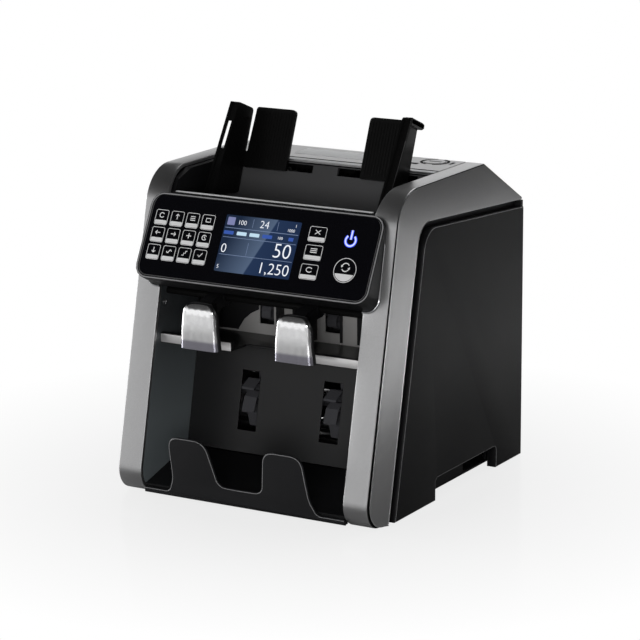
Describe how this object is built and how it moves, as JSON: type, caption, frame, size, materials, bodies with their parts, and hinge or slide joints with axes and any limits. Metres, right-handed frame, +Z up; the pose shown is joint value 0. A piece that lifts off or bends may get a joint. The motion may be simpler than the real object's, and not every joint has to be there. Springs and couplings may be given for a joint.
{
  "type": "banknote counting machine",
  "caption": "Desktop two-pocket banknote counter with a sloping hopper, sliding note guides, tilted control panel, reject pocket with flip-up stoppers and a front stacker.",
  "frame": {"origin": "middle of the machine's outline on the table it stands on", "axes": "+X to the machine's right as seen from the front, +Y to its rear, +Z up"},
  "size_m": [0.2518, 0.2756, 0.316],
  "materials": {
    "silver_paint": "fine metallic paint, satin",
    "black_plastic": "fine texture, satin",
    "gloss_black": "mirror gloss",
    "screen": "lit colour display behind clear film",
    "board_green": "solder mask",
    "steel": "bright",
    "grey_sheet": "light grey satin",
    "rubber": "matte",
    "grey_rubber": "matte",
    "clear_plastic": "ribbed, frosted clear"
  },
  "bodies": {
    "case": {"left_trim": "silver_paint", "right_trim": "silver_paint", "top_cover": "silver_paint", "left_side_cover": "black_plastic", "right_side_cover": "black_plastic", "base_tray": "black_plastic", "rear_panel": "black_plastic", "power_inlet": "black_plastic", "panel_housing": "black_plastic", "hopper_tray": "black_plastic", "hopper_rear_wall": "black_plastic", "front_sensor_bar": "black_plastic", "rear_sensor_bar": "black_plastic", "reject_roof": "black_plastic", "stacker_floor": "black_plastic", "stacker_gate": "black_plastic", "panel_overlay": "gloss_black", "display_module": "screen", "control_board": "board_green", "main_board": "board_green", "door_hinge_pin": "steel", "left_side_frame": "steel", "right_side_frame": "steel", "upper_tie_bar": "steel", "lower_tie_bar": "steel", "drive_motor": "steel", "diverter_solenoid": "steel", "power_supply": "steel", "stopper_rod": "steel", "left_pocket_liner": "grey_sheet", "right_pocket_liner": "grey_sheet", "reject_shelf": "grey_sheet", "reject_wall": "grey_sheet", "stacker_wall": "grey_sheet", "front_foot_strip": "rubber", "rear_foot_strip": "rubber", "lower_belt": "rubber", "upper_belt": "rubber", "reject_belt": "rubber"},
    "left_guide": {"left_note_guide": "black_plastic"},
    "right_guide": {"right_note_guide": "black_plastic"},
    "guide_pinion": {"guide_pinion": "black_plastic"},
    "gap_knob": {"gap_knob": "black_plastic"},
    "pickup_rollers": {"pickup_rollers": "rubber"},
    "feed_rollers": {"feed_rollers": "rubber"},
    "retard_rollers": {"retard_rollers": "grey_rubber"},
    "upper_transport": {"upper_transport_rollers": "rubber"},
    "lower_transport": {"lower_transport_rollers": "rubber"},
    "upper_pinch": {"upper_pinch_rollers": "grey_rubber"},
    "lower_pinch": {"lower_pinch_rollers": "grey_rubber"},
    "reject_wheels": {"reject_wheels": "grey_rubber"},
    "stacker_wheels": {"stacker_wheels": "grey_rubber"},
    "motor_rotor": {"motor_shaft": "steel"},
    "diverter": {"diverter_flap": "black_plastic"},
    "left_stopper": {"left_stopper": "clear_plastic", "left_stopper_arm": "black_plastic"},
    "right_stopper": {"right_stopper": "clear_plastic", "right_stopper_arm": "black_plastic"},
    "rear_door": {"rear_door": "black_plastic"},
    "power_switch": {"power_switch": "black_plastic"}
  },
  "joints": [
    {"name": "left_guide_slide", "type": "slide", "parent": "case", "child": "left_guide", "axis": [1, 0, 0], "range_m": [-0.009, 0.016]},
    {"name": "right_guide_slide", "type": "slide", "parent": "case", "child": "right_guide", "axis": [1, 0, 0], "range_m": [-0.016, 0.009]},
    {"name": "guide_pinion_spin", "type": "hinge", "parent": "case", "child": "guide_pinion", "pos_m": [0, 0.03931, 0.247], "axis": [0, 1, 0], "range_deg": [-60, 105]},
    {"name": "gap_knob_turn", "type": "hinge", "parent": "case", "child": "gap_knob", "pos_m": [0.08, 0.06131, 0.2694], "axis": [0, 0, 1], "range_deg": [-90, 90]},
    {"name": "lower_transport_spin", "type": "hinge", "parent": "case", "child": "lower_transport", "pos_m": [0, 0.00731, 0.128], "axis": [1, 0, 0], "continuous": true},
    {"name": "upper_transport_spin", "type": "hinge", "parent": "case", "child": "upper_transport", "pos_m": [0, 0.01731, 0.173], "axis": [1, 0, 0], "continuous": true},
    {"name": "pickup_spin", "type": "hinge", "parent": "case", "child": "pickup_rollers", "pos_m": [0, -0.03919, 0.2264], "axis": [1, 0, 0], "continuous": true},
    {"name": "feed_spin", "type": "hinge", "parent": "case", "child": "feed_rollers", "pos_m": [0, -0.00269, 0.207], "axis": [1, 0, 0], "continuous": true},
    {"name": "retard_spin", "type": "hinge", "parent": "case", "child": "retard_rollers", "pos_m": [0, 0.01971, 0.22], "axis": [1, 0, 0], "continuous": true},
    {"name": "upper_pinch_spin", "type": "hinge", "parent": "case", "child": "upper_pinch", "pos_m": [0, 0.03791, 0.173], "axis": [1, 0, 0], "continuous": true},
    {"name": "lower_pinch_spin", "type": "hinge", "parent": "case", "child": "lower_pinch", "pos_m": [0, 0.02791, 0.128], "axis": [1, 0, 0], "continuous": true},
    {"name": "reject_wheel_spin", "type": "hinge", "parent": "case", "child": "reject_wheels", "pos_m": [0, -0.01869, 0.15], "axis": [1, 0, 0], "continuous": true},
    {"name": "stacker_wheel_spin", "type": "hinge", "parent": "case", "child": "stacker_wheels", "pos_m": [0, -0.02069, 0.072], "axis": [1, 0, 0], "continuous": true},
    {"name": "motor_spin", "type": "hinge", "parent": "case", "child": "motor_rotor", "pos_m": [0, 0.07231, 0.07], "axis": [1, 0, 0], "continuous": true},
    {"name": "diverter_swing", "type": "hinge", "parent": "case", "child": "diverter", "pos_m": [0, 0.01931, 0.152], "axis": [1, 0, 0], "range_deg": [-8, 8]},
    {"name": "left_stopper_lift", "type": "hinge", "parent": "case", "child": "left_stopper", "pos_m": [0, -0.08069, 0.168], "axis": [-1, 0, 0], "range_deg": [0, 13]},
    {"name": "right_stopper_lift", "type": "hinge", "parent": "case", "child": "right_stopper", "pos_m": [0, -0.08069, 0.168], "axis": [-1, 0, 0], "range_deg": [0, 13]},
    {"name": "rear_door_open", "type": "hinge", "parent": "case", "child": "rear_door", "pos_m": [0, 0.13541, 0.06], "axis": [-1, 0, 0], "range_deg": [0, 75]},
    {"name": "power_switch_rock", "type": "hinge", "parent": "case", "child": "power_switch", "pos_m": [0.034, 0.12881, 0.031], "axis": [1, 0, 0], "range_deg": [0, 6]}
  ],
  "couplings": [
    {"joint": "right_guide_slide", "follows": "left_guide_slide", "ratio": -1},
    {"joint": "guide_pinion_spin", "follows": "left_guide_slide", "rad_per_m": 111.11},
    {"joint": "upper_transport_spin", "follows": "lower_transport_spin", "ratio": 1},
    {"joint": "pickup_spin", "follows": "lower_transport_spin", "ratio": 1},
    {"joint": "feed_spin", "follows": "lower_transport_spin", "ratio": 1},
    {"joint": "reject_wheel_spin", "follows": "lower_transport_spin", "ratio": 1},
    {"joint": "upper_pinch_spin", "follows": "lower_transport_spin", "ratio": -1.5},
    {"joint": "lower_pinch_spin", "follows": "lower_transport_spin", "ratio": -1.5},
    {"joint": "stacker_wheel_spin", "follows": "lower_transport_spin", "ratio": 0.64286},
    {"joint": "motor_spin", "follows": "lower_transport_spin", "ratio": 1.2857}
  ]
}
